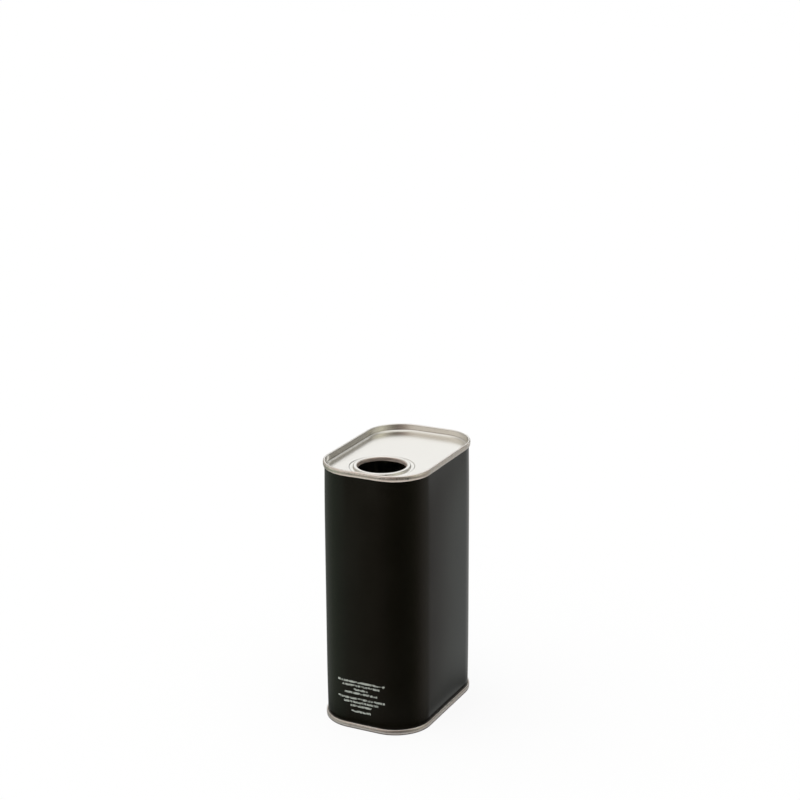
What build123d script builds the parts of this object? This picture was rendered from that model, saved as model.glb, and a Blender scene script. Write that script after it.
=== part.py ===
"""Oblong oil tin with round corners and an open spout neck, for half a litre of oil.

A tinplate body is rolled, welded up its back and closed by two ends, each folded on with a
double seam. The top end has a round beaded neck, into which a pouring spout is pressed.

Millimetres. Z is up, X runs across the narrow front and Y runs back along the broad side.
The origin lies on the table, under the middle of the tin.
"""

from build123d import *

import os
from math import cos, radians, sin

# The tin, over the outside of its body sheet
height = 136.0
body_width = 54.6
body_depth = 79.8
corner_radius = 18.5

# Sheets
body_sheet = 0.22
end_sheet = 0.25

# Double seams. Every bend here and below is given by its inside radius
seam_height = 2.9
seam_gap = 0.03
seam_crown_flat = 0.22
seam_headroom = 0.2
hook_relief = 0.1
compound_gap = 0.08

# Countersink of both ends, measured from the rim of the tin
countersink_depth = 3.6
countersink_bend = 1.0

# Step of the bottom end, which brings its middle nearer the table
bottom_rim_width = 4.5
bottom_step_bend = 0.6
bottom_step_angle = 40.0
bottom_step_ramp = 0.5

# Neck of the top end, from its bore outwards
neck_bore_radius = 12.2
neck_bore_length = 1.55
neck_crown_bend = 0.3
neck_crown_flat = 1.0
neck_shoulder = 0.2
neck_foot_bend = 0.12
neck_ring_width = 1.45
neck_ring_bend = 0.2
neck_ring_angle = 30.0
neck_ring_ramp = 0.25
neck_front_margin = 4.5

# Weld up the back, with a bare margin on each side of it
weld_width = 0.8
weld_height = 0.1
weld_margin = 4.0

# Coats
enamel_thickness = 0.08
enamel_seam_gap = 0.1
stripe_width = 10.0
stripe_thickness = 0.06
stripe_end_gap = 0.6
stripe_gap = 0.03

# Faces of a seam's layers, out from the body's outer face
chuck_wall_face = -body_sheet - seam_gap
end_hook_face = seam_gap
body_hook_face = end_hook_face + end_sheet + seam_gap
seam_wall_face = body_hook_face + body_sheet + seam_gap
seam_middle = (chuck_wall_face + seam_wall_face) / 2

# Bends that fold a seam's layers over each other
body_hook_bend = body_hook_face / 2
end_hook_bend = (seam_wall_face - end_hook_face - end_sheet) / 2
crown_bend = (seam_wall_face - chuck_wall_face - seam_crown_flat) / 2

# Levels in a seam, measured from the rim of the tin
crown_level = end_sheet + crown_bend
body_bend_level = end_sheet + seam_headroom + body_sheet + body_hook_bend
end_bend_level = seam_height - end_sheet - end_hook_bend
body_hook_end = end_bend_level - hook_relief
end_hook_end = body_bend_level + hook_relief

os.makedirs("parts", exist_ok=True)


def folded_sheet(start, heading, moves, sheet):
    """Draws a folded sheet in section, from the middle of its cut edge.

    Each move is a straight length, or a bend as (inside radius, turn to the left).
    """
    cut_edges = []
    for side in (1, -1):
        direction = Vector(1, 0).rotate(Axis.Z, heading)
        point = Vector(*start) + direction.rotate(Axis.Z, 90) * (side * sheet / 2)
        first = point
        for move in moves:
            if isinstance(move, tuple):
                inside, turn = move
                run = JernArc(point, direction, inside if side * turn > 0 else inside + sheet, turn)
            else:
                run = Line(point, point + direction * move)
            point, direction = run @ 1, run % 1
        cut_edges.append((first, point))
    for left, right in zip(*cut_edges):
        Line(left, right)


def step_size(bend, angle, ramp, sheet):
    """How far a step runs and rises, over its ramp and the two equal bends beside it."""
    turn = radians(angle)
    run = (2 * bend + sheet) * sin(turn) + ramp * cos(turn)
    rise = (2 * bend + sheet) * (1 - cos(turn)) + ramp * sin(turn)
    return run, rise


def outline(out, mode=Mode.ADD):
    """Plan of the tin, at a distance out from the body's outer face."""
    RectangleRounded(body_width + 2 * out, body_depth + 2 * out, corner_radius + out, mode=mode)


def carry_round(section, rim_level, upward):
    """Carries a section round a quarter of the tin, then mirrors it to the other three.

    The section's x is the distance out from the body's outer face. Its y is the distance
    past the rim, which is up where upward is 1 and down where it is -1.
    """
    half_width = body_width / 2 - corner_radius
    half_depth = body_depth / 2 - corner_radius
    side = Plane((body_width / 2, half_depth, rim_level), (1, 0, 0), (0, -upward, 0))
    back = Plane((half_width, body_depth / 2, rim_level), (0, 1, 0), (upward, 0, 0))
    extrude(side * section, amount=upward * half_depth)
    revolve(side * section, axis=Axis((half_width, half_depth, 0), (0, 0, 1)), revolution_arc=90)
    extrude(back * section, amount=-upward * half_width)
    mirror(about=Plane.YZ)
    mirror(about=Plane.XZ)


# Body shell: one sheet with a hook at each rim, and its weld up the back

with BuildSketch() as body_section:
    hook_length = body_hook_end - body_bend_level
    with BuildLine():
        folded_sheet(
            (body_hook_face + body_sheet / 2, -body_hook_end),
            90,
            [
                hook_length,
                (body_hook_bend, 180),
                height - 2 * body_bend_level,
                (body_hook_bend, 180),
                hook_length,
            ],
            body_sheet,
        )
    make_face()

with BuildPart() as body_shell:
    carry_round(body_section.sketch, height, 1)
    with BuildSketch(Plane.XY.offset(seam_height)):
        with Locations((0, body_depth / 2)):
            Rectangle(weld_width, weld_height, align=(Align.CENTER, Align.MIN))
    extrude(amount=height - 2 * seam_height)

body_shell.part.label = "body_shell"
export_step(body_shell.part, "parts/body_shell.step")


# The rim that both ends have, outward from the edge of their flat panel

panel_edge = chuck_wall_face - end_sheet - countersink_bend
panel_middle_level = countersink_depth + end_sheet / 2


def rim_moves():
    """The sheet's way up the countersink, round the seam and into its hook."""
    return [
        (countersink_bend, 90),
        countersink_depth - countersink_bend - crown_level,
        (crown_bend, -90),
        seam_crown_flat,
        (crown_bend, -90),
        end_bend_level - crown_level,
        (end_hook_bend, -180),
        end_bend_level - end_hook_end,
    ]


# Top end: flat to its countersink, with a beaded neck in a shallow sunk ring

ring_run, ring_drop = step_size(neck_ring_bend, neck_ring_angle, neck_ring_ramp, end_sheet)
neck_wall = neck_bore_radius + end_sheet + 2 * neck_crown_bend + neck_crown_flat
neck_radius = neck_wall + neck_foot_bend + end_sheet + neck_ring_width + ring_run
neck_forward = body_depth / 2 + panel_edge - neck_front_margin - neck_radius
panel_top = height - countersink_depth

with BuildSketch() as top_section:
    with BuildLine():
        folded_sheet((panel_edge, -panel_middle_level), 0, rim_moves(), end_sheet)
    make_face()

with BuildPart() as top_end:
    carry_round(top_section.sketch, height, 1)
    with BuildSketch(Plane.XY.offset(panel_top)):
        outline(panel_edge)
        with Locations((0, -neck_forward)):
            Circle(neck_radius, mode=Mode.SUBTRACT)
    extrude(amount=-end_sheet)
    with BuildSketch(Plane((0, -neck_forward, panel_top), (1, 0, 0), (0, -1, 0))):
        with BuildLine():
            folded_sheet(
                (neck_radius, -end_sheet / 2),
                180,
                [
                    (neck_ring_bend, neck_ring_angle),
                    neck_ring_ramp,
                    (neck_ring_bend, -neck_ring_angle),
                    neck_ring_width,
                    (neck_foot_bend, -90),
                    neck_shoulder,
                    (neck_crown_bend, 90),
                    neck_crown_flat,
                    (neck_crown_bend, 90),
                    neck_bore_length,
                ],
                end_sheet,
            )
        make_face()
    revolve(axis=Axis((0, -neck_forward, 0), (0, 0, 1)))

top_end.part.label = "top_end"
export_step(top_end.part, "parts/top_end.step")


# Bottom end: the same countersink and seam, with a stepped middle

step_run, step_rise = step_size(
    bottom_step_bend, bottom_step_angle, bottom_step_ramp, end_sheet
)
middle_edge = panel_edge - bottom_rim_width - step_run
middle_top = countersink_depth - step_rise

with BuildSketch() as bottom_section:
    with BuildLine():
        folded_sheet(
            (middle_edge, step_rise - panel_middle_level),
            0,
            [
                (bottom_step_bend, -bottom_step_angle),
                bottom_step_ramp,
                (bottom_step_bend, bottom_step_angle),
                bottom_rim_width,
            ]
            + rim_moves(),
            end_sheet,
        )
    make_face()

with BuildPart() as bottom_end:
    carry_round(bottom_section.sketch, 0, -1)
    with BuildSketch(Plane.XY.offset(middle_top)):
        outline(middle_edge)
    extrude(amount=end_sheet)

bottom_end.part.label = "bottom_end"
export_step(bottom_end.part, "parts/bottom_end.step")


# Sealing compound, which fills the crown of each seam over the body's hook

with BuildSketch() as compound_section:
    with BuildLine():
        half_flat = seam_crown_flat / 2
        crown = Line((seam_middle - half_flat, -end_sheet), (seam_middle + half_flat, -end_sheet))
        outer = JernArc(crown @ 1, crown % 1, crown_bend, -90)
        inner = JernArc(crown @ 0, crown % 1 * -1, crown_bend, 90)
        Line(inner @ 1, outer @ 1)
    make_face()
    with Locations((seam_middle, -body_bend_level)):
        Circle(body_hook_bend + body_sheet + compound_gap, mode=Mode.SUBTRACT)

with BuildPart() as top_seam_compound:
    carry_round(compound_section.sketch, height, 1)

top_seam_compound.part.label = "top_seam_compound"
export_step(top_seam_compound.part, "parts/top_seam_compound.step")

with BuildPart() as bottom_seam_compound:
    carry_round(compound_section.sketch, 0, -1)

bottom_seam_compound.part.label = "bottom_seam_compound"
export_step(bottom_seam_compound.part, "parts/bottom_seam_compound.step")


# Black enamel, baked on the body between its seams, but for the margins of the weld

enamel_bottom = seam_height + enamel_seam_gap

with BuildPart() as black_enamel_coat:
    with BuildSketch(Plane.XY.offset(enamel_bottom)):
        outline(enamel_thickness)
        outline(0, mode=Mode.SUBTRACT)
        with Locations((0, body_depth / 2)):
            Rectangle(weld_width + 2 * weld_margin, body_depth, mode=Mode.SUBTRACT)
    extrude(amount=height - 2 * enamel_bottom)

black_enamel_coat.part.label = "black_enamel_coat"
export_step(black_enamel_coat.part, "parts/black_enamel_coat.step")


# Lacquer stripe, which covers the weld on the inside

stripe_bottom = countersink_depth + end_sheet + stripe_end_gap
stripe_face = -body_sheet - stripe_gap

with BuildPart() as inner_side_stripe:
    with BuildSketch(Plane.XY.offset(stripe_bottom)):
        outline(stripe_face)
        outline(stripe_face - stripe_thickness, mode=Mode.SUBTRACT)
        with Locations((0, body_depth / 2)):
            Rectangle(stripe_width, body_depth, mode=Mode.INTERSECT)
    extrude(amount=height - 2 * stripe_bottom)

inner_side_stripe.part.label = "inner_side_stripe"
export_step(inner_side_stripe.part, "parts/inner_side_stripe.step")
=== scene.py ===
"""Looks of an oblong tinplate oil tin, built over its packed parts, with a plain studio round it.

Every shape is worked out in numpy as whole grids of points, in metres, in the frame's own axes:
Z up, X across the narrow front and -Y out of the front. Whatever is made of sheet is a pair of
grids, one for each face of the sheet, joined along their borders into one closed skin.
"""

from math import ceil, copysign, cos, pi, radians, sin
from types import SimpleNamespace

import bmesh
import bpy
import numpy as np
from bpy.props import FloatProperty, FloatVectorProperty, IntProperty, PointerProperty
from mathutils import Matrix, Vector


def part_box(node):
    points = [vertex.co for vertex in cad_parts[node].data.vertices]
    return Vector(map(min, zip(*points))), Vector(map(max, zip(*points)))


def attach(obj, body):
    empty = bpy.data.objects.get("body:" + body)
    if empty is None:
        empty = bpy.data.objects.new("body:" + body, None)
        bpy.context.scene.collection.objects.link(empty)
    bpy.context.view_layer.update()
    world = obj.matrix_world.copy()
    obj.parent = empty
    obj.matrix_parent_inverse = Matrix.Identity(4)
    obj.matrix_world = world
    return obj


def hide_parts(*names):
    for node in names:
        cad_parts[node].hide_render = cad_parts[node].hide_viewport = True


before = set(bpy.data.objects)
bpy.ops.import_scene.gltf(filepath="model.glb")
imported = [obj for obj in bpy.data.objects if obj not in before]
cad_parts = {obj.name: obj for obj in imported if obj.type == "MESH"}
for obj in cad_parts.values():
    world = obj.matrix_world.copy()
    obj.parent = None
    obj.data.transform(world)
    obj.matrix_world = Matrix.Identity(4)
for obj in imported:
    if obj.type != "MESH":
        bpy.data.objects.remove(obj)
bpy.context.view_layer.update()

bl_info = {
    "name": "Oil tin",
    "version": (1, 0, 0),
    "blender": (4, 5, 0),
    "location": "3D View > Sidebar > Oil tin",
    "description": "Dresses an oblong oil tin with its tinplate, enamel and print",
    "category": "Object",
}

MM = 0.001
TIN_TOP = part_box("body_shell")[1].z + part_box("body_shell")[0].z


# Colours


def linear(code):
    """An sRGB hex colour as linear RGB, by the standard curve of each channel."""
    coded = np.array([int(code[at : at + 2], 16) for at in (1, 3, 5)]) / 255
    return tuple(np.where(coded <= 0.04045, coded / 12.92, ((coded + 0.055) / 1.055) ** 2.4))


def length(name, description, millimetres):
    """A length that the sidebar shows."""
    return FloatProperty(
        name=name, description=description, default=millimetres * MM, unit="LENGTH", precision=5
    )


def angle(name, description, degrees):
    """An angle that the sidebar shows."""
    return FloatProperty(name=name, description=description, default=radians(degrees), subtype="ANGLE")


def number(name, description, value, **limits):
    """A plain number, nought or more, that the sidebar shows."""
    return FloatProperty(name=name, description=description, default=value, min=0, **limits)


def colour(name, description, code):
    """A colour that the sidebar shows."""
    return FloatVectorProperty(
        name=name, description=description, default=linear(code), subtype="COLOR", min=0, max=1
    )


class TinSizes(bpy.types.PropertyGroup):
    """Sizes of the tin's body and its sheet."""

    height: length("Height", "From the table to the top seam's rim", TIN_TOP / MM)
    width: length("Width", "Over the body's narrow front", 54.6)
    depth: length("Depth", "Over the body's broad side", 79.8)
    corner: length("Corner", "Radius of the body's corners", 18.5)
    body_sheet: length("Body sheet", "Thickness of the body's sheet", 0.22)
    end_sheet: length("End sheet", "Thickness of the ends' sheet", 0.25)
    broad_bow: length("Broad bow", "How far the broad sides bow out", 0.52)
    narrow_bow: length("Narrow bow", "How far the front and the back bow out", 0.24)
    swell: length("Swell", "How far the whole body swells between its seams", 0.25)
    bow_ease: length("Bow ease", "How far a side's bow reaches into its corners", 6.0)
    weld_width: length("Weld width", "Width of the weld up the back", 0.8)
    weld_height: length("Weld height", "How far the weld stands proud", 0.1)


class SeamSizes(bpy.types.PropertyGroup):
    """Sizes of the double seams and of the countersinks within them."""

    height: length("Height", "Height of a seam's outer wall", 2.9)
    gap: length("Gap", "Space between a seam's layers", 0.03)
    crown_flat: length("Crown flat", "Width of the flat along a seam's crown", 0.22)
    headroom: length("Headroom", "Room over the body's hook for the compound", 0.2)
    relief: length("Relief", "Room past the end of each hook", 0.1)
    swell: angle("Swell", "Lean of the barrelled outer wall at its edges", 11.5)
    lean: length("Lean", "How far the top seam's outer wall leans in towards its lower edge", 0.16)
    wander: length("Wander", "How far a seam's lower edge strays from level", 0.06)
    countersink: length("Countersink", "Depth of an end's panel below the rim", 3.6)
    countersink_bend: length("Countersink bend", "Inside radius at the foot of the countersink", 1.0)


class NeckSizes(bpy.types.PropertyGroup):
    """Sizes of the neck's bead and ring, from its bore outwards."""

    bore: length("Bore", "Radius of the hole", 12.2)
    bore_length: length("Bore length", "Height of the bore's wall", 1.55)
    crown_bend: length("Crown bend", "Inside radius of the bead's two bends", 0.3)
    crown_flat: length("Crown flat", "Width of the flat over the bead", 1.0)
    shoulder: length("Shoulder", "Height of the bead's outer wall", 0.2)
    foot_bend: length("Foot bend", "Inside radius at the bead's foot", 0.12)
    ring_width: length("Ring width", "Width of the sunk ring round the bead", 1.45)
    ring_bend: length("Ring bend", "Inside radius of the ring step's two bends", 0.2)
    ring_ramp: length("Ring ramp", "Length of the ring step's slope", 0.25)
    ring_angle: angle("Ring angle", "Slope of the ring's step", 30)
    front_margin: length("Front margin", "Flat panel left between the ring and the countersink", 4.5)


class BottomSizes(bpy.types.PropertyGroup):
    """Sizes of the bottom end's step."""

    rim_width: length("Rim width", "Width of the flat round the step", 4.5)
    step_bend: length("Step bend", "Inside radius of the step's two bends", 0.6)
    step_ramp: length("Step ramp", "Length of the step's slope", 0.5)
    step_angle: angle("Step angle", "Slope of the step", 40)


class CoatSizes(bpy.types.PropertyGroup):
    """Sizes of the enamel coat and of the print on it."""

    enamel: length("Enamel", "Thickness of the enamel", 0.08)
    weld_margin: length("Weld margin", "Bare sheet on each side of the weld", 4.0)
    tuck: length("Tuck", "How far the enamel runs into the seams' grooves", 0.12)
    ink: length("Ink", "Thickness of the ink over the enamel", 0.015)
    print_middle: length("Print middle", "Middle of the print, to the right of the front's middle", -1.2)
    print_top: length("Print top", "Height of the print's first line", 26.0)
    line_pitch: length("Line pitch", "From one line of the print to the next", 2.0)
    stroke_height: length("Stroke height", "Height of the print's strokes", 1.1)
    stroke_seed: IntProperty(
        name="Stroke seed", description="Which spread of stroke widths the print has", default=5, min=0
    )


class Finishes(bpy.types.PropertyGroup):
    """Colours of the tin's finishes."""

    end_tin: colour("End tinplate", "Satin tinplate of the two ends", "#f1efe9")
    end_tin_worn: colour("Rubbed tinplate", "Tinplate where tools have rubbed it", "#f0e1d6")
    body_tin: colour("Body tinplate", "Bright tinplate of the body sheet", "#d9d5cb")
    weld_heat: colour("Weld heat", "Oxide along the weld's edges", "#5f5a63")
    enamel: colour("Black enamel", "Baked enamel on the body", "#0b0904")
    ink: colour("Ink", "Pale ink of the print", "#d3d9cf")
    compound: colour("Seam compound", "Sealing compound within the seams", "#c0bbae")
    stripe: colour("Side stripe", "Lacquer stripe over the weld, inside", "#77726a")


class Studio(bpy.types.PropertyGroup):
    """The floor, the light and the camera's lens."""

    floor: colour("Floor", "Pale floor", "#f4f4f3")
    floor_glow: number("Floor glow", "Share of plain white in the floor that the camera sees", 0.88, max=1)
    floor_size: length("Floor size", "Side of the square floor", 6000)
    table: colour("Table", "Table round the tin's foot, as the tin mirrors it", "#e4e0db")
    far_gain: number("Far gain", "Far edge of the table against the walls over it", 2.4)
    horizon: colour("Horizon", "Far end of the room, as the tin mirrors it", "#2c2a27")
    fill: number("Fill", "Strength of the even light from all round", 0.5, max=1)
    overhead: number("Overhead", "Strength of the wide light overhead", 2.1)
    overhead_width: angle("Overhead width", "Angle that the overhead light fills", 110)
    lens: FloatProperty(name="Lens", description="Focal length", default=89.195, unit="CAMERA")


GROUPS = {
    "oil_tin": TinSizes,
    "oil_tin_seam": SeamSizes,
    "oil_tin_neck": NeckSizes,
    "oil_tin_bottom": BottomSizes,
    "oil_tin_coat": CoatSizes,
    "oil_tin_finish": Finishes,
    "oil_tin_studio": Studio,
}


# The tin's plan


def side_runs(tin):
    """Runs along the body's outline at which its flats and corners meet, from the middle of the back."""
    narrow, broad, corner = tin.width - 2 * tin.corner, tin.depth - 2 * tin.corner, pi / 2 * tin.corner
    return np.cumsum([0, narrow / 2, corner, broad, corner, narrow, corner, broad, corner, narrow / 2])


# Lines of a piece's grid: along half the back past its weld, round a corner, along a broad side
# and along half the front
BACK_LINES, CORNER_LINES, BROAD_LINES, FRONT_LINES = 6, 32, 24, 9
# Lines near the weld's middle, as shares of its width
WELD_LINES = (0, 0.25, 0.4, 0.5, 0.65, 1, 2)


def stations(tin):
    """Runs at which a piece's grid has its lines: even along each flat and round each corner.

    They crowd together at the middle of the back, so that the weld has a shape of its own.
    The second half of the tin mirrors the first.
    """
    ends = side_runs(tin)
    half = np.concatenate(
        [
            tin.weld_width * np.array(WELD_LINES),
            np.linspace(3 * tin.weld_width, ends[1], BACK_LINES, endpoint=False),
            np.linspace(ends[1], ends[2], CORNER_LINES, endpoint=False),
            np.linspace(ends[2], ends[3], BROAD_LINES, endpoint=False),
            np.linspace(ends[3], ends[4], CORNER_LINES, endpoint=False),
            np.linspace(ends[4], ends[-1] / 2, FRONT_LINES),
        ]
    )
    return np.concatenate([half, ends[-1] - half[-2:0:-1]])


def arch(off, half, ease):
    """A side's bow at a distance off its middle, as a share of its height there.

    It is a parabola over the flat. Past the flat's end it eases out over a square that meets the
    parabola with the same slope, so that the side turns evenly into its corners.
    """
    flat = (half**2 - off**2) / (2 * half) + ease / 2
    eased = np.clip(half + ease - off, 0, ease) ** 2 / (2 * ease)
    return np.where(off < half, flat, eased) / (half / 2 + ease / 2)


def bow(tin, seam, run, z):
    """How far the body bows out at a run and a height.

    Up the free height it is the square of one less the sixth power of the distance from the
    middle, which starts level with the seams.
    """
    ends = side_runs(tin)
    lap = ends[-1]
    half_broad, half_narrow = tin.depth / 2 - tin.corner, tin.width / 2 - tin.corner
    side = (ends[2] + ends[3]) / 2
    off_side = np.minimum(abs(run - side), abs(run - lap + side))
    off_end = np.minimum(np.minimum(run, lap - run), abs(run - lap / 2))
    reach = np.clip((z - tin.height / 2) / (tin.height / 2 - seam.height), -1, 1)
    out = tin.swell + tin.broad_bow * arch(off_side, half_broad, tin.bow_ease)
    out = out + tin.narrow_bow * arch(off_end, half_narrow, tin.bow_ease)
    return out * (1 - reach**6) ** 2


def on_wall(tin, seam, run, out, z):
    """Points at a run along the tin's outline, a distance out from the body's outer face.

    The outline is carried by the centres of its bends: along a flat the centre moves and the
    direction outward holds, and round a corner the centre holds and the direction turns evenly.
    """
    ends = side_runs(tin)
    half_x, half_y = tin.width / 2 - tin.corner, tin.depth / 2 - tin.corner
    turn = np.interp(run, ends, np.radians([90, 90, 180, 180, 270, 270, 360, 360, 450, 450]))
    centre_x = np.interp(run, ends, half_x * np.array([0, -1, -1, -1, -1, 1, 1, 1, 1, 0]))
    centre_y = np.interp(run, ends, half_y * np.array([1, 1, 1, -1, -1, -1, -1, 1, 1, 1]))
    radius = tin.corner + out + bow(tin, seam, run, z)
    return np.stack(
        np.broadcast_arrays(centre_x + radius * np.cos(turn), centre_y + radius * np.sin(turn), z), axis=-1
    )


# Sections of folded sheet


def folded(start, heading, moves, sheet, spacing=0.7 * MM, arc_step=radians(12)):
    """Middle line and left-hand directions of a folded sheet in section, as complex numbers.

    Each move is a straight length, or a bend as (inside radius, turn to the left). A straight is
    its start moved along the heading, with a line close to each end that keeps the flat's shading
    flat. A bend is its start turned about the bend's centre in even steps.
    """
    at, way = complex(*start), np.exp(1j * heading)
    points, lefts = [np.array([at])], [np.array([1j * way])]
    for move in moves:
        if isinstance(move, tuple):
            inside, turn = move
            steps = max(3, ceil(abs(turn) / arc_step))
            swing = np.exp(1j * turn * np.arange(1, steps + 1) / steps)
            centre = at + 1j * way * copysign(inside + sheet / 2, turn)
            points.append(centre + (at - centre) * swing)
            lefts.append(1j * way * swing)
            way = way * swing[-1]
        else:
            near = min(0.03 * MM, move / 4)
            inner = np.linspace(near, move - near, ceil(move / spacing) + 1)
            points.append(at + way * np.append(inner, move))
            lefts.append(np.full(len(inner) + 1, 1j * way))
        at = points[-1][-1]
    return np.concatenate(points), np.concatenate(lefts)


def seam_layers(tin, seam):
    """Faces, bends and levels of a double seam's layers.

    Faces are measured out from the body's outer face, and levels down from the rim.
    """
    at = SimpleNamespace()
    at.chuck_face = -tin.body_sheet - seam.gap
    at.end_hook = seam.gap
    at.body_hook = at.end_hook + tin.end_sheet + seam.gap
    at.wall = at.body_hook + tin.body_sheet + seam.gap
    at.middle = (at.chuck_face + at.wall) / 2
    at.body_bend = at.body_hook / 2
    at.end_bend = (at.wall - at.end_hook - tin.end_sheet) / 2
    at.crown_bend = (at.wall - at.chuck_face - seam.crown_flat) / 2
    at.crown_level = tin.end_sheet + at.crown_bend
    at.body_bend_level = tin.end_sheet + seam.headroom + tin.body_sheet + at.body_bend
    at.end_bend_level = seam.height - tin.end_sheet - at.end_bend
    at.panel_edge = at.chuck_face - tin.end_sheet - seam.countersink_bend
    at.panel_middle = seam.countersink + tin.end_sheet / 2
    return at


def rim_moves(tin, seam):
    """The end's way up its countersink, over the seam's crown, down its wall and into its hook.

    The wall is an arc that swells outward between its two edges, whose chord stands upright.
    """
    at = seam_layers(tin, seam)
    quarter = pi / 2
    chord = at.end_bend_level - at.crown_level
    chord += (at.crown_bend + at.end_bend + tin.end_sheet) * sin(seam.swell)
    return [
        (seam.countersink_bend, quarter),
        seam.countersink - seam.countersink_bend - at.crown_level,
        (at.crown_bend, -quarter),
        seam.crown_flat,
        (at.crown_bend, seam.swell - quarter),
        (chord / 2 / sin(seam.swell) - tin.end_sheet / 2, -2 * seam.swell),
        (at.end_bend, seam.swell - pi),
        at.end_bend_level - at.body_bend_level - seam.relief,
    ]


def wander(tin, seam, run):
    """How far a seam's lower edge strays at a run: four waves whose lengths share no factor."""
    lap = 2 * pi * run / side_runs(tin)[-1]
    waves = np.sin(9 * lap + 0.4) + 0.8 * np.sin(17 * lap + 2.1) + 0.6 * np.sin(31 * lap + 4.0)
    return seam.wander * (waves + 0.5 * np.sin(53 * lap + 1.2)) / 2


def carry_rim(tin, seam, runs, section, upward):
    """Grid of an end's section carried round the tin, at its top or its bottom.

    The section's real part is the distance out from the body, and its imaginary part is the
    distance past the rim. The outer wall's lower edge strays with the run, and the top seam's
    outer wall leans in by the square of how far out it stands times how far down it is.
    """
    at = seam_layers(tin, seam)
    outward = np.clip((section.real - at.middle) / (at.wall - at.middle), 0, 1)
    down = np.clip(-section.imag / seam.height, 0, 1)
    past = section.imag - wander(tin, seam, runs)[:, None] * outward * down
    if upward < 0:
        return on_wall(tin, seam, runs[:, None], section.real, -past)
    leant = section.real - seam.lean * outward**2 * down
    return on_wall(tin, seam, runs[:, None], leant, tin.height + past)


# Meshes


def skin(name, front, back, closed=True, pole=False):
    """One closed mesh from a sheet's two faces, each a grid of points (pieces, runs, columns, 3).

    Each face of the mesh joins two neighbours along the run with two along the column. The
    grids are joined along their borders too: not where the run closes on itself, and not at the
    first column where it is a pole.
    """
    grids = np.stack([front, back], axis=-4).reshape(-1, 2, *front.shape[-3:])
    pieces, _, runs, columns, _ = grids.shape
    index = np.arange(pieces * 2 * runs * columns).reshape(pieces, 2, runs, columns)
    if closed:
        index = np.concatenate([index, index[:, :, :1]], axis=2)
    face, rear = index[:, 0], index[:, 1]
    strips = [face, rear[:, :, ::-1], np.stack([face[:, :, -1], rear[:, :, -1]], axis=-1)]
    if not pole:
        strips.append(np.stack([rear[:, :, 0], face[:, :, 0]], axis=-1))
    if not closed:
        strips.append(np.stack([rear[:, 0], face[:, 0]], axis=1))
        strips.append(np.stack([face[:, -1], rear[:, -1]], axis=1))
    quads = [
        np.stack([s[:, :-1, :-1], s[:, 1:, :-1], s[:, 1:, 1:], s[:, :-1, 1:]], axis=-1).reshape(-1, 4)
        for s in strips
    ]
    mesh = bpy.data.meshes.new(name)
    mesh.from_pydata(grids.reshape(-1, 3).tolist(), [], np.concatenate(quads).tolist())
    merged = bmesh.new()
    merged.from_mesh(mesh)
    bmesh.ops.remove_doubles(merged, verts=merged.verts, dist=0.0001 * MM)
    bmesh.ops.recalc_face_normals(merged, faces=merged.faces)
    merged.to_mesh(mesh)
    merged.free()
    mesh.shade_smooth()
    mesh.set_sharp_from_angle(angle=radians(40))
    return mesh


def place(name, mesh, material, slot, *nodes):
    """Puts a piece on the tin in its finish, in place of its CAD nodes."""
    piece = bpy.data.objects.new(name, mesh)
    mesh.materials.append(material)
    bpy.context.scene.collection.objects.link(piece)
    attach(piece, "root")
    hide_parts(*nodes)
    return piece


# Materials


def node(tree, kind, inputs=(), **settings):
    """Adds a node with its settings, and gives each input named a value or a link."""
    made = tree.nodes.new(kind)
    for name, value in settings.items():
        setattr(made, name, value)
    for name, value in dict(inputs).items():
        if isinstance(value, bpy.types.NodeSocket):
            tree.links.new(value, made.inputs[name])
        else:
            made.inputs[name].default_value = value
    return made


def new_finish(name, **constants):
    """A new material, its tree and its shader, with the values that are the same all over."""
    material = bpy.data.materials.new(name)
    material.use_nodes = True
    shader = material.node_tree.nodes["Principled BSDF"]
    for socket, value in constants.items():
        shader.inputs[socket.replace("_", " ")].default_value = value
    return material, material.node_tree, shader


def grain(tree, x, y, z, detail=2.0):
    """Noise whose features measure x, y and z along the tin's axes."""
    where = node(tree, "ShaderNodeTexCoord").outputs["Object"]
    turned = node(tree, "ShaderNodeMapping", {"Vector": where, "Scale": (1 / x, 1 / y, 1 / z)})
    inputs = {"Vector": turned.outputs["Vector"], "Scale": 1.0, "Detail": detail}
    return node(tree, "ShaderNodeTexNoise", inputs).outputs["Fac"]


def rgba(chosen, share=1.0):
    """A colour, or a share of it, with full cover."""
    return (*(share * channel for channel in chosen), 1.0)


# The range that a noise mostly keeps to
NOISE = {"From Min": 0.3, "From Max": 0.7}
# How much harder the punch rubbed the neck's bore than the rolls rubbed the seams
BORE_RUB = 3.2


def vary(tree, shader, pattern, colours, roughness, relief=None, depth=0.0):
    """Varies a finish between two colours and two roughnesses, and gives it a relief of some depth."""
    share = node(tree, "ShaderNodeMapRange", {"Value": pattern, **NOISE}).outputs["Result"]
    inputs = {0: share, 6: colours[0], 7: colours[1]}
    tint = node(tree, "ShaderNodeMix", inputs, data_type="RGBA").outputs[2]
    tree.links.new(tint, shader.inputs["Base Color"])
    inputs = {"Value": pattern, **NOISE, "To Min": roughness[0], "To Max": roughness[1]}
    rough = node(tree, "ShaderNodeMapRange", inputs).outputs["Result"]
    tree.links.new(rough, shader.inputs["Roughness"])
    if relief:
        inputs = {"Height": relief, "Distance": depth}
        raised = node(tree, "ShaderNodeBump", inputs).outputs["Normal"]
        tree.links.new(raised, shader.inputs["Normal"])


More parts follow.
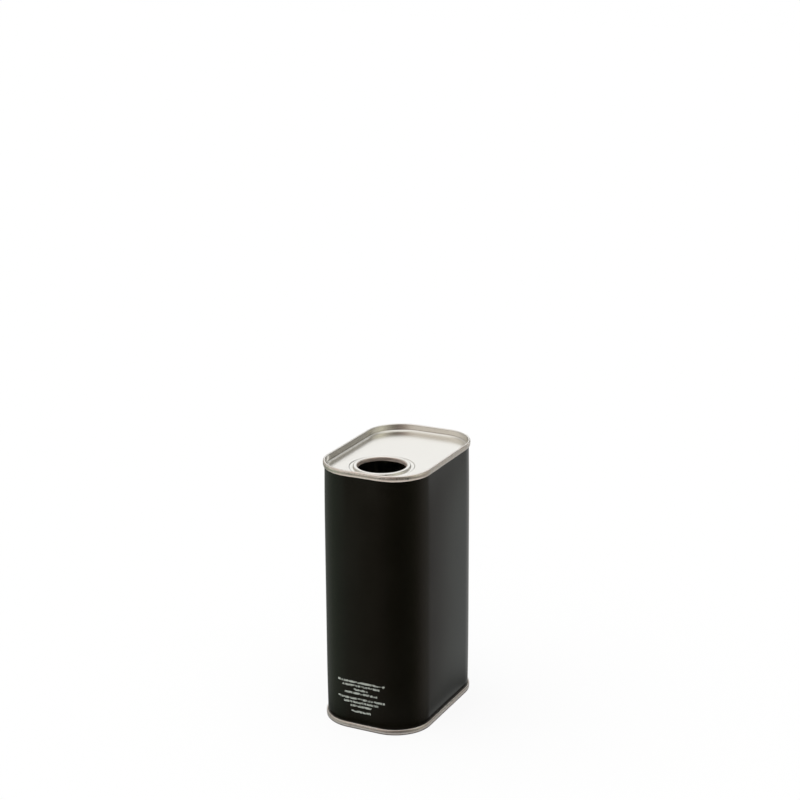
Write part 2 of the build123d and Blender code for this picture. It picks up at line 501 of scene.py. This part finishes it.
def stamped_tinplate(finishes):
    """Electrolytic tinplate, satin, stamped into an end and rolled into a seam.

    The sheet's rolling grain runs along the tin and gives the panel a faint satin line. The
    seaming rolls and the neck's punch leave what they rub mottled along their way, and much
    rougher. The bore, which is rubbed most, is smeared in patches to a dull grey that scatters
    light. The grain is really ten times finer, and is drawn as wide as shows.
    """
    material, tree, shader = new_finish("stamped satin tinplate", Metallic=1.0)
    rolling = grain(tree, 0.3 * MM, 9 * MM, 0.3 * MM)
    rubbing = grain(tree, 2.6 * MM, 2.6 * MM, 0.6 * MM, detail=4.0)
    patches = node(tree, "ShaderNodeMapRange", {"Value": rubbing, **NOISE}).outputs["Result"]
    rubbed = node(tree, "ShaderNodeAttribute", attribute_name="rubbed").outputs["Fac"]
    worn = node(tree, "ShaderNodeMath", {0: patches, 1: rubbed}, operation="MULTIPLY").outputs[0]

    inputs = {0: worn, 6: rgba(finishes.end_tin), 7: rgba(finishes.end_tin_worn)}
    tint = node(tree, "ShaderNodeMix", inputs, data_type="RGBA").outputs[2]
    inputs = {"Value": worn, "From Min": 0.8, "From Max": BORE_RUB, "To Min": 1.0, "To Max": 0.5}
    metal = node(tree, "ShaderNodeMapRange", inputs).outputs["Result"]
    inputs = {"Value": rolling, **NOISE, "To Min": 0.18, "To Max": 0.22}
    satin = node(tree, "ShaderNodeMapRange", inputs).outputs["Result"]
    inputs = {0: worn, 1: 0.12, 2: satin}
    dull = node(tree, "ShaderNodeMath", inputs, operation="MULTIPLY_ADD").outputs[0]
    inputs = {0: rubbed, 1: 0.05, 2: dull}
    rough = node(tree, "ShaderNodeMath", inputs, operation="MULTIPLY_ADD").outputs[0]
    inputs = {"Height": rolling, "Distance": 0.0006 * MM}
    sheet = node(tree, "ShaderNodeBump", inputs).outputs["Normal"]
    inputs = {"Height": worn, "Distance": 0.004 * MM, "Normal": sheet}
    rolled = node(tree, "ShaderNodeBump", inputs).outputs["Normal"]
    found = {"Base Color": tint, "Metallic": metal, "Roughness": rough, "Normal": rolled}
    for socket, value in found.items():
        tree.links.new(value, shader.inputs[socket])
    return material


def welded_tinplate(finishes):
    """Bright tinplate of the body sheet, bare along its weld and inside.

    The welding current leaves a dark oxide line on each side of the weld, and presses the weld
    itself into small overlapping beads along its length, 0.9 mm from one to the next.
    """
    material, tree, shader = new_finish("welded bright tinplate", Metallic=1.0)
    rolling = grain(tree, 0.3 * MM, 0.3 * MM, 9 * MM)
    weld = node(tree, "ShaderNodeAttribute", attribute_name="weld").outputs["Fac"]
    heat = node(tree, "ShaderNodeAttribute", attribute_name="heat").outputs["Fac"]
    where = node(tree, "ShaderNodeTexCoord").outputs["Object"]
    inputs = {"Vector": where, "Scale": 2 * pi / (20 * 0.9 * MM), "Distortion": 0.6, "Detail": 1.0}
    beads = node(tree, "ShaderNodeTexWave", inputs, bands_direction="Z").outputs["Fac"]
    bead = node(tree, "ShaderNodeMath", {0: beads, 1: weld}, operation="MULTIPLY").outputs[0]

    inputs = {"Value": rolling, **NOISE, "To Min": 0.6, "To Max": 1.0}
    streaks = node(tree, "ShaderNodeMapRange", inputs).outputs["Result"]
    burnt = node(tree, "ShaderNodeMath", {0: heat, 1: streaks}, operation="MULTIPLY").outputs[0]
    inputs = {0: burnt, 6: rgba(finishes.body_tin), 7: rgba(finishes.weld_heat)}
    tint = node(tree, "ShaderNodeMix", inputs, data_type="RGBA").outputs[2]
    inputs = {"Value": rolling, **NOISE, "To Min": 0.2, "To Max": 0.27}
    bright = node(tree, "ShaderNodeMapRange", inputs).outputs["Result"]
    inputs = {0: bead, 1: 0.15, 2: bright}
    rough = node(tree, "ShaderNodeMath", inputs, operation="MULTIPLY_ADD").outputs[0]
    inputs = {"Height": rolling, "Distance": 0.0006 * MM}
    sheet = node(tree, "ShaderNodeBump", inputs).outputs["Normal"]
    inputs = {"Height": bead, "Distance": 0.04 * MM, "Normal": sheet}
    pressed = node(tree, "ShaderNodeBump", inputs).outputs["Normal"]
    for socket, value in {"Base Color": tint, "Roughness": rough, "Normal": pressed}.items():
        tree.links.new(value, shader.inputs[socket])
    return material


def baked_enamel(finishes):
    """Black stoving enamel, sprayed or rolled on the flat sheet and baked: semi-gloss.

    It flows out nearly level, and keeps a faint orange peel about a millimetre across, which
    softens the reflections in it.
    """
    material, tree, shader = new_finish("baked black enamel", IOR=1.5)
    peel = grain(tree, 1.3 * MM, 1.3 * MM, 1.3 * MM, detail=1.0)
    haze = grain(tree, 14 * MM, 14 * MM, 22 * MM, detail=3.0)
    colours = rgba(finishes.enamel), rgba(finishes.enamel, 1.25)
    vary(tree, shader, haze, colours, (0.15, 0.19), peel, 0.002 * MM)
    return material


def screen_ink(finishes):
    """Pale screen-printed ink, matt, thinner where the mesh let less through."""
    material, tree, shader = new_finish("pale screen ink", IOR=1.45)
    cover = grain(tree, 0.25 * MM, 0.25 * MM, 0.25 * MM)
    vary(tree, shader, cover, (rgba(finishes.ink, 0.7), rgba(finishes.ink)), (0.5, 0.65))
    return material


def sealing_compound(finishes):
    """Water-based rubber compound, flowed into the seam's crown and dried: dull and slightly lumpy."""
    material, tree, shader = new_finish("dried rubber compound", IOR=1.5)
    lumps = grain(tree, 0.3 * MM, 0.3 * MM, 0.3 * MM)
    colours = rgba(finishes.compound, 0.8), rgba(finishes.compound)
    vary(tree, shader, lumps, colours, (0.6, 0.75), lumps, 0.01 * MM)
    return material


def stripe_lacquer(finishes):
    """Powder side-stripe lacquer, melted over the weld's inside: satin, with a soft ripple."""
    material, tree, shader = new_finish("melted stripe lacquer", IOR=1.5)
    ripple = grain(tree, 0.8 * MM, 0.8 * MM, 2.0 * MM)
    colours = rgba(finishes.stripe, 0.85), rgba(finishes.stripe)
    vary(tree, shader, ripple, colours, (0.35, 0.45), ripple, 0.006 * MM)
    return material


def shared(name, make, finishes):
    """The material of that name, made the first time that it is asked for."""
    return bpy.data.materials.get(name) or make(finishes)


def mark(mesh, name, values):
    """Stores a value for each point of a mesh, for its material to read."""
    mesh.attributes.new(name, "FLOAT", "POINT").data.foreach_set("value", np.asarray(values, np.float32))


def points_of(mesh):
    """The mesh's points as rows of x, y and z."""
    flat = np.empty(len(mesh.vertices) * 3, np.float32)
    mesh.vertices.foreach_get("co", flat)
    return flat.reshape(-1, 3)


def seam_rubbing(mesh, tin):
    """How far the seaming rolls rubbed each point: from the middle of the crown to the whole wall."""
    x, y, _ = points_of(mesh).T
    half_x, half_y = tin.width / 2 - tin.corner, tin.depth / 2 - tin.corner
    beyond = np.hypot(np.maximum(abs(x) - half_x, 0), np.maximum(abs(y) - half_y, 0)) - tin.corner
    return np.clip(beyond / tin.end_sheet / 2, 0, 1)


# Lines of the panel's grid, as shares of the way from the neck's ring to the countersink, and of
# the bottom's, from its middle to its step. Those close to an end keep its shading flat
PANEL_LINES = np.array([0.004, 0.06, 0.2, 0.4, 0.6, 0.8, 0.94, 0.996])
BOTTOM_LINES = (0, 0.01, 0.2, 0.4, 0.6, 0.8, 0.99)


class OILTIN_OT_top_end(bpy.types.Operator):
    """Makes the top end with its neck, panel, countersink and seam"""

    bl_idname = "oiltin.top_end"
    bl_label = "Top end"

    def execute(self, context):
        tin, seam, neck = context.scene.oil_tin, context.scene.oil_tin_seam, context.scene.oil_tin_neck
        at, sheet, quarter = seam_layers(tin, seam), tin.end_sheet, pi / 2
        panel_top = tin.height - seam.countersink
        runs = stations(tin)

        moves = [
            neck.bore_length,
            (neck.crown_bend, -quarter),
            neck.crown_flat,
            (neck.crown_bend, -quarter),
            neck.shoulder,
            (neck.foot_bend, quarter),
            neck.ring_width,
            (neck.ring_bend, neck.ring_angle),
            neck.ring_ramp,
            (neck.ring_bend, -neck.ring_angle),
        ]
        line, lefts = folded((neck.bore + sheet / 2, 0), quarter, moves, sheet, spacing=0.4 * MM)
        line = line + 1j * (panel_top - sheet / 2 - line[-1].imag)
        ring = line[-1].real
        centre = np.array([0, ring + neck.front_margin - tin.depth / 2 - at.panel_edge])

        edge = on_wall(tin, seam, runs, at.panel_edge, panel_top)
        toward = edge[:, :2] - centre
        far = np.linalg.norm(toward, axis=1, keepdims=True)
        toward = toward / far
        rim_line, rim_lefts = folded((at.panel_edge, -at.panel_middle), 0, rim_moves(tin, seam), sheet)

        faces = []
        for side in (-1, 1):
            around = line + side * lefts * sheet / 2
            neck_part = np.broadcast_to(around, (len(runs), len(around)))
            panel = ring + (far - ring) * PANEL_LINES + 1j * (panel_top - sheet / 2 + side * sheet / 2)
            section = np.concatenate([neck_part, panel], axis=1)[..., None]
            plan = centre + section.real * toward[:, None]
            inner = np.concatenate([plan, section.imag], axis=-1)
            rim = carry_rim(tin, seam, runs, rim_line + side * rim_lefts * sheet / 2, 1)
            faces.append(np.concatenate([inner, rim], axis=1))
        mesh = skin("top_end_sheet", *faces)
        x, y, _ = points_of(mesh).T
        inward = neck.bore + sheet - np.hypot(x, y - centre[1])
        mark(mesh, "rubbed", np.maximum(seam_rubbing(mesh, tin), BORE_RUB * np.clip(inward / sheet, 0, 1)))
        tinplate = shared("stamped satin tinplate", stamped_tinplate, context.scene.oil_tin_finish)
        place("top_end_sheet", mesh, tinplate, "end_tinplate", "top_end")
        return {"FINISHED"}


class OILTIN_OT_bottom_end(bpy.types.Operator):
    """Makes the bottom end with its stepped middle, countersink and seam"""

    bl_idname = "oiltin.bottom_end"
    bl_label = "Bottom end"

    def execute(self, context):
        tin, seam, bottom = context.scene.oil_tin, context.scene.oil_tin_seam, context.scene.oil_tin_bottom
        at, sheet, runs = seam_layers(tin, seam), tin.end_sheet, stations(tin)

        moves = [
            (bottom.step_bend, -bottom.step_angle),
            bottom.step_ramp,
            (bottom.step_bend, bottom.step_angle),
            bottom.rim_width,
        ]
        line, lefts = folded((0, 0), 0, moves + rim_moves(tin, seam), sheet)
        step, _ = folded((0, 0), 0, moves, sheet)
        line = line + at.panel_edge - step[-1].real + 1j * (-at.panel_middle - step[-1].imag)

        faces = []
        for side in (-1, 1):
            rim = carry_rim(tin, seam, runs, line + side * lefts * sheet / 2, -1)
            inward = np.stack([BOTTOM_LINES, BOTTOM_LINES, np.ones(len(BOTTOM_LINES))], axis=-1)
            faces.append(np.concatenate([rim[:, :1] * inward, rim], axis=1))
        mesh = skin("bottom_end_sheet", *faces, pole=True)
        mark(mesh, "rubbed", seam_rubbing(mesh, tin))
        tinplate = shared("stamped satin tinplate", stamped_tinplate, context.scene.oil_tin_finish)
        place("bottom_end_sheet", mesh, tinplate, "end_tinplate", "bottom_end")
        return {"FINISHED"}


class OILTIN_OT_body_sheet(bpy.types.Operator):
    """Makes the body's sheet with its hooks, its bowed sides and its weld"""

    bl_idname = "oiltin.body_sheet"
    bl_label = "Body sheet"

    def execute(self, context):
        tin, seam = context.scene.oil_tin, context.scene.oil_tin_seam
        at, runs = seam_layers(tin, seam), stations(tin)

        hook = at.end_bend_level - seam.relief - at.body_bend_level
        wall = tin.height - 2 * at.body_bend_level
        moves = [hook, (at.body_bend, pi), wall, (at.body_bend, pi), hook]
        start = (at.body_hook + tin.body_sheet / 2, tin.height - at.body_bend_level - hook)
        line, lefts = folded(start, pi / 2, moves, tin.body_sheet, spacing=3 * MM)

        lap = side_runs(tin)[-1]
        off = np.minimum(runs, lap - runs)[:, None]
        proud = tin.weld_height * np.clip(1 - (2 * off / tin.weld_width) ** 4, 0, 1)
        faces = []
        for side in (-1, 1):
            section = line + side * lefts * tin.body_sheet / 2
            free = (section.imag > seam.height) & (section.imag < tin.height - seam.height)
            out = section.real + proud * (free & (side > 0))
            faces.append(on_wall(tin, seam, runs[:, None], out, section.imag))
        mesh = skin("body_sheet", *faces)

        x, y, _ = points_of(mesh).T
        off = np.where(y > 0, abs(x), tin.width) / tin.weld_width
        mark(mesh, "weld", np.clip(1 - (1.6 * off) ** 4, 0, 1))
        mark(mesh, "heat", np.exp(-((off - 0.9) / 0.4) ** 2))
        tinplate = welded_tinplate(context.scene.oil_tin_finish)
        place("body_sheet", mesh, tinplate, "body_tinplate", "body_shell")
        return {"FINISHED"}


class OILTIN_OT_enamel(bpy.types.Operator):
    """Makes the black enamel between the seams, open along the weld"""

    bl_idname = "oiltin.enamel"
    bl_label = "Black enamel"

    def execute(self, context):
        tin, seam, coat = context.scene.oil_tin, context.scene.oil_tin_seam, context.scene.oil_tin_coat
        lap, start = side_runs(tin)[-1], tin.weld_width / 2 + coat.weld_margin
        soft = np.array([0, 0.15, 0.4, 1]) * coat.enamel
        runs = stations(tin)
        runs = runs[(runs > start + 2 * coat.enamel) & (runs < lap - start - 2 * coat.enamel)]
        runs = np.concatenate([start + soft, runs, lap - start - soft[::-1]])
        low, high = seam.height - coat.tuck, tin.height - seam.height + coat.tuck
        levels = np.linspace(low + 2 * coat.enamel, high - 2 * coat.enamel, 44)
        levels = np.concatenate([low + soft, levels, high - soft[::-1]])

        run, z = np.meshgrid(runs, levels, indexing="ij")
        inward = np.minimum(np.minimum(run - start, lap - start - run), np.minimum(z - low, high - z))
        rounded = np.sqrt(1 - (1 - np.clip(inward / coat.enamel, 0, 1)) ** 2)
        outer = on_wall(tin, seam, run, coat.enamel * (0.2 + 0.8 * rounded), z)
        inner = on_wall(tin, seam, run, 0, z)
        mesh = skin("black_enamel", outer, inner, closed=False)
        enamel = baked_enamel(context.scene.oil_tin_finish)
        place("black_enamel", mesh, enamel, "black_enamel", "black_enamel_coat")
        return {"FINISHED"}


# Print lines, from the top: line number and width in millimetres
PRINT_LINES = ((0, 26), (1, 20.5), (2, 7.5), (3, 18), (4.5, 26), (5.5, 19), (6.5, 11.5), (8, 10.5))
# The print's strokes, in millimetres: from one to the next on average, least and most width, and
# the gaps after most and after some
STROKE_PITCH, STROKE_WIDTHS, GAP, WIDE_GAP = 0.56, (0.2, 0.42), 0.2, 0.6
# Chance of a wide gap, chance that a stroke's top or foot is cut short, and by what share
WIDE_GAPS, SHORT_STROKES, SHORTENING = 0.16, 0.3, 0.35


class OILTIN_OT_print(bpy.types.Operator):
    """Makes the print low on the front, as rows of plain upright strokes with no letters"""

    bl_idname = "oiltin.print"
    bl_label = "Print"

    def execute(self, context):
        tin, seam, coat = context.scene.oil_tin, context.scene.oil_tin_seam, context.scene.oil_tin_coat
        middle = side_runs(tin)[-1] / 2 + coat.print_middle
        chance = np.random.default_rng(coat.stroke_seed)
        rows = []
        for line, width in PRINT_LINES:
            count = int(width / STROKE_PITCH)
            widths = chance.uniform(*STROKE_WIDTHS, count)
            gaps = np.where(chance.random(count) < WIDE_GAPS, WIDE_GAP, GAP)
            left = np.cumsum(widths + gaps) - widths - gaps
            stretch = width / (left[-1] + widths[-1])
            left = middle + (left * stretch - width / 2) * MM
            level = coat.print_top - line * coat.line_pitch
            top = level - SHORTENING * coat.stroke_height * (chance.random(count) < SHORT_STROKES)
            low = level - coat.stroke_height * (1 - SHORTENING * (chance.random(count) < SHORT_STROKES))
            rows.append(np.stack([left, left + widths * stretch * MM, low, top]))
        left, right, low, top = np.concatenate(rows, axis=1)
        run = np.stack([left, right], axis=-1)[:, :, None]
        z = np.stack([low, top], axis=-1)[:, None]
        front = on_wall(tin, seam, run, coat.enamel + coat.ink, z)
        back = on_wall(tin, seam, run, coat.enamel - coat.ink, z)
        mesh = skin("print_strokes", front, back, closed=False)
        place("print_strokes", mesh, screen_ink(context.scene.oil_tin_finish), "print_ink")
        return {"FINISHED"}


class OILTIN_OT_hidden_parts(bpy.types.Operator):
    """Gives the compound in the seams and the stripe over the weld their finishes"""

    bl_idname = "oiltin.hidden_parts"
    bl_label = "Compound and stripe"

    def execute(self, context):
        finishes = context.scene.oil_tin_finish
        compound, lacquer = sealing_compound(finishes), stripe_lacquer(finishes)
        for name, finish in (
            ("top_seam_compound", compound),
            ("bottom_seam_compound", compound),
            ("inner_side_stripe", lacquer),
        ):
            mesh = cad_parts[name].data
            mesh.materials.clear()
            mesh.materials.append(finish)
        return {"FINISHED"}


# What stands round the tin, by azimuth from -Y towards +X in degrees: at table level and above it
SURROUNDINGS = (
    (-180, "#b8b8b6", "#5a5856"),
    (-172, "#b0b0ad", "#6e6c6a"),
    (-164, "#a8a8a4", "#ffffff"),
    (-149, "#a3a39f", "#ffffff"),
    (-145, "#9a9b98", "#ccc9c5"),
    (-140, "#909190", "#c6c3bf"),
    (-124, "#767b75", "#cbc8c4"),
    (-105, "#868c84", "#bcb8b5"),
    (-88, "#868f83", "#cdc9c5"),
    (-65, "#818e7f", "#e0dbd6"),
    (-33, "#7a8177", "#e1dbd6"),
    (-29.5, "#707066", "#dfd9d4"),
    (-27, "#57534a", "#dcd6d1"),
    (-24, "#4c4640", "#d9d3ce"),
    (-6, "#423f3b", "#d0c8c2"),
    (13, "#2d2e27", "#a2968f"),
    (33, "#242420", "#7a6e68"),
    (48, "#1f201f", "#7c776e"),
    (65, "#262925", "#9f9a91"),
    (75, "#32342b", "#b5b2a8"),
    (92, "#565249", "#d5d2c4"),
    (119, "#857f78", "#c6c4bb"),
    (133, "#88857e", "#b0ada7"),
    (147, "#807d78", "#7c7a74"),
    (152.4, "#8f8b8b", "#807d77"),
    (155.4, "#b6b8b4", "#8e8c88"),
    (156.8, "#c4c8c2", "#9a9894"),
    (158.5, "#979d9b", "#a8a7a4"),
    (159.6, "#b2b5b5", "#ffffff"),
    (169, "#bbbcbc", "#ffffff"),
    (173, "#b9b9b8", "#6e6c6a"),
    (180, "#b8b8b6", "#5a5856"),
)


# Rises, in degrees, between which one part of the mirrored room gives way to the next: from the
# walls' feet to their upper parts, from these to the softbox, and from the feet to the table
WALL_RISES, SOFTBOX_RISES, TABLE_RISES = (-8, 8), (45, 65), (-29, -38)

# Bands across the mirrored walls, in degrees: the rise of the middle, how far off it the band is
# whole and how far off it is gone, and how much it covers
FAR_EDGE, HORIZON = (-7.5, 2.5, 4.5, 0.75), (4, 5, 8, 0.85)


def light_world(studio):
    """A plain pale room: even light for the tin, white to the camera, and walls to mirror.

    The metal and the enamel mirror a white wall behind the tin and greyer ones beside it, found
    from the way that a reflection goes: its azimuth picks the wall, and its rise picks the wall's
    foot, its upper part or the softbox overhead. Two bands cross the walls: the bright far edge of
    the table, and over it the dark far end of the room.
    """
    world = bpy.data.worlds.new("plain studio")
    bpy.context.scene.world = world
    world.use_nodes = True
    tree = world.node_tree
    tree.nodes.clear()
    way = node(tree, "ShaderNodeSeparateXYZ", {0: node(tree, "ShaderNodeTexCoord").outputs["Generated"]})
    front = node(tree, "ShaderNodeMath", {0: way.outputs["Y"], 1: -1.0}, operation="MULTIPLY").outputs[0]
    turn = node(tree, "ShaderNodeMath", {0: way.outputs["X"], 1: front}, operation="ARCTAN2").outputs[0]
    inputs = {"Value": turn, "From Min": -pi, "From Max": pi}
    azimuth = node(tree, "ShaderNodeMapRange", inputs).outputs["Result"]

    walls = []
    for level in (1, 2):
        ramp = node(tree, "ShaderNodeValToRGB", {"Fac": azimuth})
        stops = ramp.color_ramp.elements
        for stop in SURROUNDINGS[1:-1]:
            stops.new(stop[0] / 360 + 0.5)
        for stop, wall in zip(stops, SURROUNDINGS):
            stop.position, stop.color = wall[0] / 360 + 0.5, rgba(linear(wall[level]))
        walls.append(ramp.outputs["Color"])

    shares = []
    for low, high in (WALL_RISES, SOFTBOX_RISES, TABLE_RISES):
        inputs = {"Value": way.outputs["Z"], "From Min": sin(radians(low)), "From Max": sin(radians(high))}
        shares.append(node(tree, "ShaderNodeMapRange", inputs).outputs["Result"])
    upper, softbox, table = shares
    room = node(tree, "ShaderNodeMix", {0: upper, 6: walls[0], 7: walls[1]}, data_type="RGBA").outputs[2]
    inputs = {0: walls[1], "Scale": studio.far_gain}
    edge = node(tree, "ShaderNodeVectorMath", inputs, operation="SCALE").outputs[0]
    for (middle, whole, gone, most), shown in ((FAR_EDGE, edge), (HORIZON, rgba(studio.horizon))):
        inputs = {0: way.outputs["Z"], 1: sin(radians(middle))}
        off = node(tree, "ShaderNodeMath", inputs, operation="SUBTRACT").outputs[0]
        off = node(tree, "ShaderNodeMath", {0: off}, operation="ABSOLUTE").outputs[0]
        inputs = {"Value": off, "From Min": sin(radians(gone)), "From Max": sin(radians(whole))}
        band = node(tree, "ShaderNodeMapRange", {**inputs, "To Max": most}).outputs["Result"]
        room = node(tree, "ShaderNodeMix", {0: band, 6: room, 7: shown}, data_type="RGBA").outputs[2]
    for share, shown in ((table, rgba(studio.table)), (softbox, (1, 1, 1, 1))):
        room = node(tree, "ShaderNodeMix", {0: share, 6: room, 7: shown}, data_type="RGBA").outputs[2]

    even = node(tree, "ShaderNodeBackground", {"Color": (1, 1, 1, 1), "Strength": studio.fill}).outputs[0]
    mirror = node(tree, "ShaderNodeBackground", {"Color": room}).outputs[0]
    white = node(tree, "ShaderNodeBackground", {"Color": (1, 1, 1, 1)}).outputs[0]
    ray = node(tree, "ShaderNodeLightPath").outputs
    seen = node(tree, "ShaderNodeMixShader", {0: ray["Is Glossy Ray"], 1: even, 2: mirror}).outputs[0]
    shown = node(tree, "ShaderNodeMixShader", {0: ray["Is Camera Ray"], 1: seen, 2: white}).outputs[0]
    node(tree, "ShaderNodeOutputWorld", {"Surface": shown})


# The floor round the tin's foot, as the tin mirrors it: distance from its body in millimetres, how far it
# covers the room's own table, and how bright it is. It is painted shade and painted light that only the
# tin's reflections see: painted black shade right under the seam, then a painted strip of lit floor that
# glows, then the tin's own shade painted on, which thins out
PAINTED_SHADE_AND_LIGHT = (
    (0, 1, 0),
    (1.3, 1, 0),
    (1.8, 0.85, 0.5),
    (3.2, 0.85, 0.5),
    (4.4, 0.1, 0.2),
    (6.5, 0.5, 0),
    (9, 0.48, 0),
    (12, 0.36, 0),
    (16, 0.25, 0),
    (26, 0.1, 0),
    (45, 0, 0),
)

# A black line of painted shade on the floor, which the enamel mirrors right over the bottom seam, in
# millimetres: how far its reflections go to the floor, how far off that the line is whole and gone, and how
# much it covers
PAINTED_FOOT_LINE = (9.2, 1.2, 2.2, 0.95)


def floor_paint(studio, tin):
    """Matt white paint, which the camera sees nearly white wherever the tin's shadow doesn't fall.

    In the tin's mirrored view the floor is only what lies round its foot: painted shade and painted light
    by the distance from the body, and a painted black line of shade where a reflection reaches the floor
    that soon. Past that the room's own table takes its place.
    """
    material, tree, shader = new_finish("pale floor paint", Roughness=1.0, Specular_IOR_Level=0.0)
    shader.inputs["Base Color"].default_value = rgba(studio.floor)
    glow = node(tree, "ShaderNodeEmission", {"Color": (1, 1, 1, 1)}).outputs[0]
    ray = node(tree, "ShaderNodeLightPath").outputs
    inputs = {0: ray["Is Camera Ray"], 1: studio.floor_glow}
    share = node(tree, "ShaderNodeMath", inputs, operation="MULTIPLY").outputs[0]
    shown = node(tree, "ShaderNodeMixShader", {0: share, 1: shader.outputs[0], 2: glow}).outputs[0]

    # Painted shade and a painted glowing strip round the foot, by the distance from the body, which only
    # the tin's reflections see
    where = node(tree, "ShaderNodeTexCoord").outputs["Object"]
    inner = (tin.width / 2 - tin.corner, tin.depth / 2 - tin.corner, 1)
    aside = node(tree, "ShaderNodeVectorMath", {0: where}, operation="ABSOLUTE").outputs[0]
    aside = node(tree, "ShaderNodeVectorMath", {0: aside, 1: inner}, operation="SUBTRACT").outputs[0]
    aside = node(tree, "ShaderNodeVectorMath", {0: aside, 1: (0, 0, 0)}, operation="MAXIMUM").outputs[0]
    away = node(tree, "ShaderNodeVectorMath", {0: aside}, operation="LENGTH").outputs["Value"]
    farthest = PAINTED_SHADE_AND_LIGHT[-1][0]
    inputs = {"Value": away, "From Min": tin.corner, "From Max": tin.corner + farthest * MM}
    reached = node(tree, "ShaderNodeMapRange", inputs).outputs["Result"]
    ramp = node(tree, "ShaderNodeValToRGB", {"Fac": reached})
    stops = ramp.color_ramp.elements
    for _ in PAINTED_SHADE_AND_LIGHT[2:]:
        stops.new(1.0)
    for stop, (reach, cover, bright) in zip(stops, PAINTED_SHADE_AND_LIGHT):
        stop.position, stop.color = reach / farthest, (bright, bright, bright, cover)

    # Painted black line of shade, by how far a reflection has run to the floor
    run, whole, gone, most = PAINTED_FOOT_LINE
    off = node(tree, "ShaderNodeMath", {0: ray["Ray Length"], 1: run * MM}, operation="SUBTRACT").outputs[0]
    off = node(tree, "ShaderNodeMath", {0: off}, operation="ABSOLUTE").outputs[0]
    inputs = {"Value": off, "From Min": gone * MM, "From Max": whole * MM, "To Max": most}
    line = node(tree, "ShaderNodeMapRange", inputs).outputs["Result"]
    inputs = {0: ramp.outputs["Alpha"], 1: line}
    cover = node(tree, "ShaderNodeMath", inputs, operation="MAXIMUM").outputs[0]
    inputs = {0: line, 6: ramp.outputs["Color"], 7: (0, 0, 0, 1)}
    bright = node(tree, "ShaderNodeMix", inputs, data_type="RGBA").outputs[2]
    clear = node(tree, "ShaderNodeBsdfTransparent").outputs[0]
    near = node(tree, "ShaderNodeEmission", {"Color": bright}).outputs[0]
    foot = node(tree, "ShaderNodeMixShader", {0: cover, 1: clear, 2: near}).outputs[0]
    seen = node(tree, "ShaderNodeMixShader", {0: ray["Is Glossy Ray"], 1: shown, 2: foot}).outputs[0]
    tree.links.new(seen, tree.nodes["Material Output"].inputs["Surface"])
    return material


# The camera's azimuth from -Y, rise and roll in degrees, and its place in metres
CAMERA_TURN = (26.3589, 16.9205, -0.2918)
CAMERA_PLACE = (0.416470, -0.837612, 0.445959)
# The way that the overhead light shines
LAMP_WAY = (0.3, 0.25, -1)


class OILTIN_OT_studio(bpy.types.Operator):
    """Makes the floor, the light and the camera"""

    bl_idname = "oiltin.studio"
    bl_label = "Studio"

    def execute(self, context):
        studio, scene = context.scene.oil_tin_studio, context.scene
        half = studio.floor_size / 2
        corners = half * np.array([[-1, -1, 0], [1, -1, 0], [1, 1, 0], [-1, 1, 0]])
        mesh = bpy.data.meshes.new("floor")
        mesh.from_pydata(corners.tolist(), [], [[0, 1, 2, 3]])
        mesh.materials.append(floor_paint(studio, scene.oil_tin))
        floor = bpy.data.objects.new("floor", mesh)
        scene.collection.objects.link(floor)

        light_world(studio)
        lamp = bpy.data.lights.new("overhead", "SUN")
        lamp.energy, lamp.angle = studio.overhead, studio.overhead_width
        overhead = bpy.data.objects.new("overhead", lamp)
        overhead.rotation_euler = Vector(LAMP_WAY).to_track_quat("-Z", "Y").to_euler()
        overhead.visible_glossy = False
        scene.collection.objects.link(overhead)

        camera = bpy.data.objects.new("camera", bpy.data.cameras.new("camera"))
        camera.data.lens, camera.data.sensor_width = studio.lens, 36
        camera.data.clip_start = 0.01
        azimuth, rise, roll = map(radians, CAMERA_TURN)
        back = Vector((sin(azimuth) * cos(rise), -cos(azimuth) * cos(rise), sin(rise)))
        level = Vector((cos(azimuth), sin(azimuth), 0))
        upright = back.cross(level)
        right = level * cos(roll) + upright * sin(roll)
        up = upright * cos(roll) - level * sin(roll)
        turn = Matrix((right, up, back)).transposed().to_4x4()
        camera.matrix_world = Matrix.Translation(CAMERA_PLACE) @ turn
        scene.collection.objects.link(camera)
        scene.camera = camera
        scene.view_settings.view_transform = "Standard"
        return {"FINISHED"}


class OILTIN_PT_panel(bpy.types.Panel):
    """Lists the tin's sizes, its finishes and its steps"""

    bl_label = "Oil tin"
    bl_idname = "OILTIN_PT_panel"
    bl_space_type = "VIEW_3D"
    bl_region_type = "UI"
    bl_category = "Oil tin"

    def draw(self, context):
        for name, group in GROUPS.items():
            box = self.layout.box()
            box.label(text=group.__doc__)
            values = getattr(context.scene, name)
            for key in group.__annotations__:
                box.prop(values, key)
        for step in STEPS:
            self.layout.operator(step.bl_idname)


STEPS = (
    OILTIN_OT_top_end,
    OILTIN_OT_bottom_end,
    OILTIN_OT_body_sheet,
    OILTIN_OT_enamel,
    OILTIN_OT_print,
    OILTIN_OT_hidden_parts,
    OILTIN_OT_studio,
)


def register():
    """Tells Blender of the tin's groups of sizes, its steps and its panel."""
    for group in (*GROUPS.values(), *STEPS, OILTIN_PT_panel):
        bpy.utils.register_class(group)
    for name, group in GROUPS.items():
        setattr(bpy.types.Scene, name, PointerProperty(type=group))


def unregister():
    """Takes back all that register told Blender of."""
    for name in GROUPS:
        delattr(bpy.types.Scene, name)
    for group in (OILTIN_PT_panel, *reversed(STEPS), *reversed(GROUPS.values())):
        bpy.utils.unregister_class(group)


def main():
    """Dresses the tin, step by step."""
    register()
    bpy.ops.oiltin.top_end()
    bpy.ops.oiltin.bottom_end()
    bpy.ops.oiltin.body_sheet()
    bpy.ops.oiltin.enamel()
    bpy.ops.oiltin.print()
    bpy.ops.oiltin.hidden_parts()
    bpy.ops.oiltin.studio()


if __name__ == "__main__":
    main()
